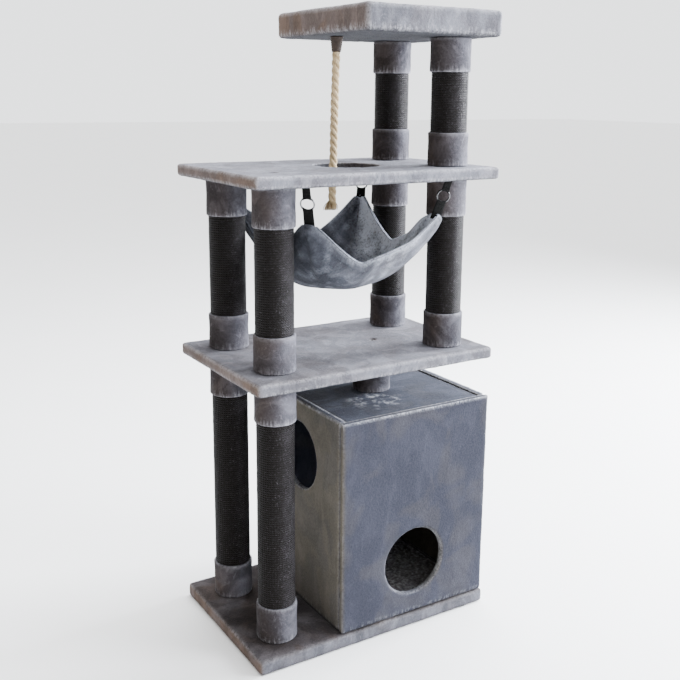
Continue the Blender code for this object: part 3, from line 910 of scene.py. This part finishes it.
def sheet_shell(grid, normals, half):
    """A closed double sheet round a grid of middle points, with a rounded rim."""
    rows, columns = grid.shape[:2]
    top = (grid + normals * half[..., None]).reshape(-1, 3)
    under = (grid - normals * half[..., None]).reshape(-1, 3)
    points = [*top, *under]
    faces = grid_faces(rows, columns)
    offset = rows * columns
    faces += [tuple(offset + corner for corner in reversed(face)) for face in faces]
    rim = [(i, 0) for i in range(rows)] + [(rows - 1, j) for j in range(1, columns)]
    rim += [(i, columns - 1) for i in range(rows - 2, -1, -1)] + [(0, j) for j in range(columns - 2, 0, -1)]
    centre = grid.mean(axis=(0, 1))
    edge_points = []
    for i, j in rim:
        inner = grid[min(max(i, 1), rows - 2), min(max(j, 1), columns - 2)]
        outward = grid[i, j] - inner
        outward -= normals[i, j] * (outward @ normals[i, j])
        if outward @ (grid[i, j] - centre) < 0:
            outward = -outward
        outward /= max(np.linalg.norm(outward), 1e-9)
        for angle in (45, 0, -45):
            turn = math.radians(angle)
            edge_points.append(grid[i, j] + half[i, j] * (math.sin(turn) * normals[i, j]
                                                          + math.cos(turn) * outward))
    start = len(points)
    points += edge_points
    count = len(rim)
    for k, (i, j) in enumerate(rim):
        after = (k + 1) % count
        next_i, next_j = rim[after]
        here, there = i * columns + j, next_i * columns + next_j
        ladder = [here, *range(start + 3 * k, start + 3 * k + 3), offset + here]
        beside = [there, *range(start + 3 * after, start + 3 * after + 3), offset + there]
        for step in range(4):
            faces.append((ladder[step], ladder[step + 1], beside[step + 1], beside[step]))
    return points, faces


def make_hammock(finish):
    hanging, flat, held = hammock_sheet()
    cells = HAMMOCK_CELLS
    places = np.array(hanging)
    mesh = mesh_of(hanging, grid_faces(cells + 1, cells + 1))
    settled_places = hang_cloth(mesh, flat, held)
    places = places * (1 - SETTLED_SHARE) + settled_places * SETTLED_SHARE
    shares = np.array(flat)[:, :2] / (np.array(HAMMOCK_FLAT) / 2)
    places += puffed(shares[:, 0], shares[:, 1])
    coarse = places.reshape(cells + 1, cells + 1, 3)
    across, up = sheet_lines(HAMMOCK_FLAT[0]), sheet_lines(HAMMOCK_FLAT[1])
    read_u = curve_weights(across / HAMMOCK_FLAT[0] * cells, cells + 1)
    read_v = curve_weights(up / HAMMOCK_FLAT[1] * cells, cells + 1)
    grid = np.einsum("ai,ijk,bj->abk", read_u, coarse, read_v)
    normals = grid_normals(grid)
    rim_gap = np.minimum(np.minimum(across, HAMMOCK_FLAT[0] - across)[:, None],
                         np.minimum(up, HAMMOCK_FLAT[1] - up)[None, :])
    seam = hump(rim_gap, HEM, 0.0016)
    padded = 1.0 + 0.25 * hump(rim_gap, HEM / 2, 0.006)
    soft = lumps(grid.reshape(-1, 3), 0.020, 3).reshape(rim_gap.shape)
    half = HAMMOCK_CLOTH / 2 * padded * (1 + 0.12 * soft) - seam * 0.0009
    half *= 0.75 + 0.25 * unit(rim_gap / 0.004)
    body = mesh_of(*sheet_shell(grid, normals, half))
    brush_hammock(body, rim_gap)
    made = link("hammock_fabric", body, finish, "hammock", ["hammock_bed"])


def brush_hammock(body, rim_gap):
    """Where the hammock's pile is brushed up, where light is painted on the right of its inner face and
    where shade is painted on it; its inner face's points come first.
    """
    placed, facings = points_of(body), directions_of(body)
    inner_count = rim_gap.size
    outer_rim = np.zeros(len(placed) - 2 * inner_count)
    flat_gap = np.concatenate([rim_gap.ravel(), rim_gap.ravel(), outer_rim])
    edge = unit(1 - flat_gap / 0.006)
    creases = lumps(placed * np.array((1, 1, 0.35)), 0.022, 8)
    inner = np.arange(len(placed)) < inner_count
    brushed = unit(creases) * np.where(inner, 0.8, 0.7)
    u, v = np.meshgrid(*(np.linspace(-1, 1, count) for count in rim_gap.shape), indexing="ij")
    u, v = u.ravel(), v.ravel()
    # painted light in patches on the right of the inner face, weaker on its back half, and painted shade
    # along a fold
    lit_patches = lumps(placed[:inner_count] * np.array((1, 1, 0.3)), 0.030, 15)
    fold_shade = hump(u, 0.30, 0.14) * unit(v + 0.2)
    back_half = unit((v - u) / 0.26 + 0.42)
    lit_right = unit((u - 0.50) / 0.35) * (1 - 0.9 * back_half)
    lining_light_and_shade = np.zeros(len(placed))
    lining_light_and_shade[:inner_count] = lit_right * (1.60 + 1.3 * lit_patches) - fold_shade * 0.8
    raised = edge * 0.7 - hump(flat_gap, HEM, 0.004) * 0.25 + brushed + lining_light_and_shade
    # painted shade: the left side and the underside are darker; on the inner face, its left part and its
    # back half
    left_shade = np.clip(0.30 - placed[:, 0] / (HAMMOCK_FLAT[0] / 2), 0, 1.2) * 0.74
    shaded = unit(-facings[:, 2]) * 0.15 + left_shade
    shaded[:inner_count] = np.maximum(unit((0.62 - u) / 0.25) * 0.26, back_half * 0.30)
    paint(body, raised_pile=raised, fringe=np.zeros(len(placed)), lay=painted_shade_side(facings) * 0.6,
          under=shaded)


# ---- hangers

RING_RADIUS = 0.0155
RING_COIL = 0.0015
STRAP = 0.0013
STRAP_COLUMNS = 9
STRAP_STEPS = 14
STRAP_EYE = 0.0027
EYE_STEPS = 12
UPPER_WIDTHS = (0.0180, 0.0190)
LOWER_WIDTHS = (0.0250, 0.0230)
STITCHES = 6
STITCH_ROWS = (0.0085, 0.0115)
STRAP_WIDTH_ALONG = {
    "front_left": (-1, 1, 0),
    "front_right": (1, -0.35, 0),
    "back_left": (1, 1, 0),
    "back_right": (1, -1, 0),
}
SEWN_PAST_CORNER = {"front_left": 0.009, "front_right": 0.009, "back_left": 0.001, "back_right": -0.013}


def hanger_frame(corner, along):
    """Axes of a strap: X through its thickness, Y along it, Z across its width."""
    across = Vector(STRAP_WIDTH_ALONG[corner])
    across = (across - along * across.dot(along)).normalized()
    return Matrix((along.cross(across), along, across)).transposed().to_4x4()


def strap_path(length, spread):
    """A strap's middle line in its own XY plane: down one layer, round the wire and back up."""
    layer = [(spread, length - (length - 0.006) * step / STRAP_STEPS) for step in range(STRAP_STEPS + 1)]
    turns = [math.pi * step / EYE_STEPS for step in range(1, EYE_STEPS)]
    eye = [(STRAP_EYE * math.cos(angle), -STRAP_EYE * math.sin(angle) * 1.05) for angle in turns]
    return layer + eye + [(-x, y) for x, y in reversed(layer)]


def lay_weave(mesh, places):
    """Gives each vertex its place along and across the weave."""
    layer = mesh.uv_layers.new(name="weave")
    for loop in mesh.loops:
        layer.data[loop.index].uv = places[loop.vertex_index]


def strap(node, corner, loop_at, end_at, widths, finishes):
    """Webbing doubled round a ring's wire: widths at its free end and at the ring."""
    along = (end_at - loop_at).normalized()
    length = (end_at - loop_at).length
    line = strap_path(length, STRAP * 0.62)
    columns = [column / (STRAP_COLUMNS - 1) - 0.5 for column in range(STRAP_COLUMNS)]
    outline = [(0.5, column) for column in columns] + [(-0.5, column) for column in reversed(columns)]
    points, weave = [], []
    distance = 0.0
    for index, (x, y) in enumerate(line):
        before, after = line[max(index - 1, 0)], line[min(index + 1, len(line) - 1)]
        if index:
            distance += math.dist(line[index - 1], (x, y))
        heading = Vector((after[0] - before[0], after[1] - before[1])).normalized()
        share = min(max(y / length, 0.0), 1.0)
        width = widths[0] * share + widths[1] * (1 - share)
        hug = max(0.0, 1 - max(y, 0.0) / 0.012)
        for side, column in outline:
            across = column * width
            sag = RING_RADIUS - math.sqrt(RING_RADIUS ** 2 - across ** 2)
            thickness = STRAP if abs(column) < 0.5 else STRAP * 0.45
            offset = side * thickness
            points.append((x + heading.y * offset, y - heading.x * offset - sag * hug, across))
            weave.append((distance, across))
    shape = bmesh.new()
    shape.from_mesh(mesh_of(points, tube_faces(len(line), len(outline))))
    bmesh.ops.recalc_face_normals(shape, faces=shape.faces)
    mesh = mesh_from(shape)
    lay_weave(mesh, weave)
    axes = Matrix.Translation(loop_at) @ hanger_frame(corner, along)
    mesh.transform(axes)
    link(node + "_strap", mesh, finishes["webbing"], node, [node])
    stitch_rows(node, axes, widths[1] - 0.004, finishes)


def stitch_rows(node, axes, width, finishes):
    """Two rows of thread across a strap, just above its eye, on both faces."""
    shape = bmesh.new()
    for face in (1, -1):
        for row in STITCH_ROWS:
            for stitch in range(STITCHES):
                across = (stitch + 0.5) / STITCHES * width - width / 2
                place = Matrix.Translation((face * STRAP * 1.16, row, across))
                size = Matrix.Diagonal((0.00045, 0.00045, width / STITCHES * 0.42, 1))
                bmesh.ops.create_uvsphere(shape, u_segments=6, v_segments=5, radius=1.0,
                                          matrix=axes @ place @ size)
    mesh = mesh_from(shape)
    lay_weave(mesh, [(vertex.co.z, vertex.co.x) for vertex in mesh.vertices])
    link(node + "_strap_stitches", mesh, finishes["thread"], node, ())


def split_ring(corner, centre, along, finishes):
    """Two turns of round wire, one against the other, with their ends lying flat."""
    steps, sides = 120, 10
    points = []
    for step in range(steps + 1):
        turn = step / steps * 2.05
        angle = 2 * math.pi * turn + 0.8
        rise = 1.0 / (1.0 + math.exp(-(turn - 1.02) * 26)) * 2 - 1
        side_step = RING_COIL * 0.92 * rise
        for spin in round_turn(sides):
            wire = spoke(spin, RING_COIL)
            radius = RING_RADIUS + wire.x
            points.append((side_step + wire.y, radius * math.cos(angle), radius * math.sin(angle)))
    mesh = mesh_of(points, tube_faces(steps + 1, sides))
    mesh.transform(Matrix.Translation(centre) @ hanger_frame(corner, along))
    node = f"ring_{corner}"
    link(node + "_coil", mesh, finishes["nickel"], node, [node])


def make_hangers(finishes):
    for corner in CORNERS:
        top, ring_top, ring_low, tip = hanger_points(corner)
        down = (tip - top).normalized()
        strap(f"upper_webbing_{corner}", corner, ring_top, top - down * 0.001, UPPER_WIDTHS, finishes)
        sewn_at = tip + down * SEWN_PAST_CORNER[corner]
        strap(f"lower_webbing_{corner}", corner, ring_low, sewn_at, LOWER_WIDTHS, finishes)
        split_ring(corner, (ring_top + ring_low) / 2, down, finishes)


# ---- rope

ROPE_ROUTE = [Vector((x, 0.0060, z)) for x, z in (
    (-0.0022, 1.4263),
    (-0.0036, 1.3850),
    (-0.0052, 1.3300),
    (-0.0067, 1.2750),
    (-0.0079, 1.2200),
    (-0.0091, 1.1610),
    (-0.0106, 1.1100),
    (-0.0125, 1.0500),
)]
ROPE_RADIUS = 0.0102
ROPE_LAY = 0.056
TUCKED_IN_CUFF = 0.010
FRAY = 0.024
FIBRES = 90
FIBRE_STEPS = 8


def smooth_route(points, per_span):
    """Points of a curve that passes smoothly through the given ones."""
    ends = [points[0], *points, points[-1]]
    route = []
    for p0, p1, p2, p3 in zip(ends, ends[1:], ends[2:], ends[3:]):
        for step in range(per_span):
            t = step / per_span
            bend = (2 * p0 - 5 * p1 + 4 * p2 - p3) * t + (3 * p1 - p0 - 3 * p2 + p3) * t * t
            route.append((2 * p1 + (p2 - p0 + bend) * t) / 2)
    route.append(points[-1].copy())
    return route


def route_lengths(route):
    lengths = [0.0]
    for before, after in zip(route, route[1:]):
        lengths.append(lengths[-1] + (after - before).length)
    return lengths


def sweep_into(points, faces, crowns, line, radius_at, sides, axis_line=None):
    """Adds a round tube along line, capped at both ends; crowns say how far out each point is
    from axis_line, or from line itself."""
    faces += tube_faces(len(line), sides, start=len(points))
    for index, place in enumerate(line):
        heading = (line[min(index + 1, len(line) - 1)] - line[max(index - 1, 0)]).normalized()
        side_way = heading.cross(Vector((0, 1, 0.01))).normalized()
        up_way = side_way.cross(heading)
        centre = axis_line[index] if axis_line else place
        for angle in round_turn(sides):
            out = side_way * math.cos(angle) + up_way * math.sin(angle)
            spot = place + out * radius_at(index, angle)
            points.append(spot)
            crowns.append(min(1.0, (spot - centre).length / ROPE_RADIUS) ** 2)


def make_rope(finishes):
    route = smooth_route(ROPE_ROUTE, 24)
    lengths = route_lengths(route)
    whole = lengths[-1]
    points, faces, crowns = [], [], []
    kept = [index for index, run in enumerate(lengths) if run < whole - FRAY + 0.006]
    axis_line = [route[index] for index in kept]
    axis_line.insert(0, ROPE_ROUTE[0] + Vector((0.0003, 0, TUCKED_IN_CUFF)))
    for strand in range(3):
        line = []
        for order, centre in enumerate(axis_line):
            run = lengths[order - 1] if order else -TUCKED_IN_CUFF
            angle = 2 * math.pi * (strand / 3 + run / ROPE_LAY)
            sway = noise.noise(Vector((run * 18, strand * 0.2, 0.5))) * 0.0007
            line.append(centre + spoke(angle, ROPE_RADIUS * 0.50 + sway))

        def strand_radius(index, angle, strand=strand):
            wobble = noise.noise(Vector((index * 0.35, angle * 1.6, strand * 7.0)))
            return ROPE_RADIUS * (0.50 + 0.035 * wobble)

        sweep_into(points, faces, crowns, line, strand_radius, 14, axis_line)
    mesh = mesh_of(points, faces)
    paint(mesh, crown=crowns)
    rope = link("rope_strands", mesh, finishes["rope"], "rope", ["hanging_rope"])
    frayed = make_frayed_end(route, finishes)
    make_cuff(finishes)


def make_frayed_end(route, finishes):
    """The rope's teased-out end: a flaring brush of separate fibres."""
    end, before = route[-1], route[-30]
    heading = (end - before).normalized()
    start = end - heading * FRAY
    points, faces, crowns = [], [], []

    def fibre_radius(index, angle):
        return 0.00105 * (1 - 0.55 * (index / FIBRE_STEPS) ** 2)

    for tuft in range(FIBRES):
        share = (tuft * 0.618034) % 1.0
        angle = 2 * math.pi * share + tuft * 0.05
        reach = ROPE_RADIUS * 0.86 * math.sqrt((tuft + 0.5) / FIBRES)
        flare = 1.70 + 0.60 * noise.noise(Vector((tuft * 0.37, 2.0, 0.0)))
        reach_down = FRAY * (0.92 + 0.16 * noise.noise(Vector((tuft * 0.71, 5.0, 0.0))))
        curl = noise.noise(Vector((tuft * 0.53, 9.0, 0.0))) * 0.0050
        line = []
        for step in range(FIBRE_STEPS + 1):
            t = step / FIBRE_STEPS
            widen = 1 + (flare - 1) * 1.25 * math.sin(2.0 * t) ** 1.2
            bend = Vector((curl * t * t - 0.0050 * t, -curl * t * t * 0.6, 0))
            out = spoke(angle + 0.55 * t, reach * widen)
            line.append(start + heading * (reach_down * t) + out + bend)
        sweep_into(points, faces, crowns, line, fibre_radius, 5)
    mesh = mesh_of(points, faces)
    paint(mesh, crown=[0.65 + 0.5 * noise.noise(Vector(point) * 300) for point in points])
    return link("rope_frayed_end", mesh, finishes["rope"], "rope", ())


def make_cuff(finishes):
    """Waxed cord bound in a taper round the rope's top, up to the platform's underside."""
    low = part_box("rope_cuff")[0]
    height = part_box("lounging_platform")[0].z - low.z - 0.0002
    turns = 9
    profile = [(0.004, height), (0.0125, height - 0.0004)]
    for step in range(turns * 6 + 1):
        share = step / (turns * 6)
        ridge = abs(math.sin(math.pi * turns * share)) ** 0.6 * 0.0007
        taper = 0.0157 + (0.0112 - 0.0157) * share
        profile.append((taper + ridge - 0.0006, height - 0.0012 - (height - 0.0024) * share))
    profile += [(0.0095, 0.0004), (0.004, 0.0)]
    points = []
    sides = 40
    for radius, level in profile:
        axis = Vector((ROPE_ROUTE[0].x + (level / height) * 0.0012, ROPE_ROUTE[0].y, low.z))
        for angle in round_turn(sides):
            rough = noise.noise(spoke(angle, 3, level * 160)) * 0.0003
            points.append(axis + spoke(angle, radius + rough, level))
    mesh = mesh_of(points, tube_faces(len(profile), sides))
    link("rope_cuff_binding", mesh, finishes["cuff"], "rope_cuff", ["rope_cuff"])


# ---- floor and light

FLOOR_REACH = 40.0


def lamp(name, place, target, size, power, colour):
    data = bpy.data.lights.new(name, "AREA")
    data.size = size
    data.energy = power
    data.color = colour
    made = into_scene(name, data)
    made.location = place
    made.rotation_euler = (Vector(target) - Vector(place)).to_track_quat("-Z", "Y").to_euler()


def make_studio():
    shade = Shade.of_finish("pale floor")
    mottle = shade.cloud(shade.position(), 3.0, 2.0, 0.5)
    tone = shade.blended(mottle, (0.93, 0.93, 0.935), (0.96, 0.96, 0.96))
    floor_finish = shade.finish(Base_Color=tone, Roughness=0.9, Specular_IOR_Level=0.1)
    corners = [(x * FLOOR_REACH, y * FLOOR_REACH, 0) for x, y in ((-1, -1), (1, -1), (1, 1), (-1, 1))]
    mesh = mesh_of(corners, [(0, 1, 2, 3)])
    mesh.materials.append(floor_finish)
    into_scene("floor", mesh)
    world = bpy.data.worlds.new("studio")
    bpy.context.scene.world = world
    surround = Shade(world)
    direction = surround.node("ShaderNodeTexCoord", {}, {}, output="Generated")
    sideways, _, upward = surround.parts(direction)
    right_share = surround.between(sideways, -0.80, 0.20)
    walls = surround.blended(right_share, (0.20, 0.185, 0.165), (0.96, 0.98, 1.0))
    level = 2.56 + surround.between(upward, 0.12, 0.40) * 0.55
    backdrop = world.node_tree.nodes["Background"]
    surround.feed(backdrop.inputs["Color"], walls)
    surround.feed(backdrop.inputs["Strength"], level)
    aim = (0.0, 0.0, 0.85)
    lamp("window", (4.2, -0.3, 2.2), aim, 1.6, 980, (0.90, 0.94, 1.0))
    lamp("front", (2.6, -2.2, 1.9), aim, 1.3, 230, (0.90, 0.93, 1.0))
    lamp("ceiling", (0.8, 0.8, 3.4), (0.0, 0.0, 1.2), 2.2, 150, (0.96, 0.97, 1.0))


def main():
    make_camera()
    finishes = make_finishes()
    make_boards(finishes)
    make_posts(finishes)
    make_hangers(finishes)
    make_hammock(finishes["hammock"])
    make_rope(finishes)
    for node, made in frame["nodes"].items():
        if "bolt" in node or "stud" in node:
            made.data.materials.clear()
            made.data.materials.append(finishes["steel"])
    make_studio()


main()
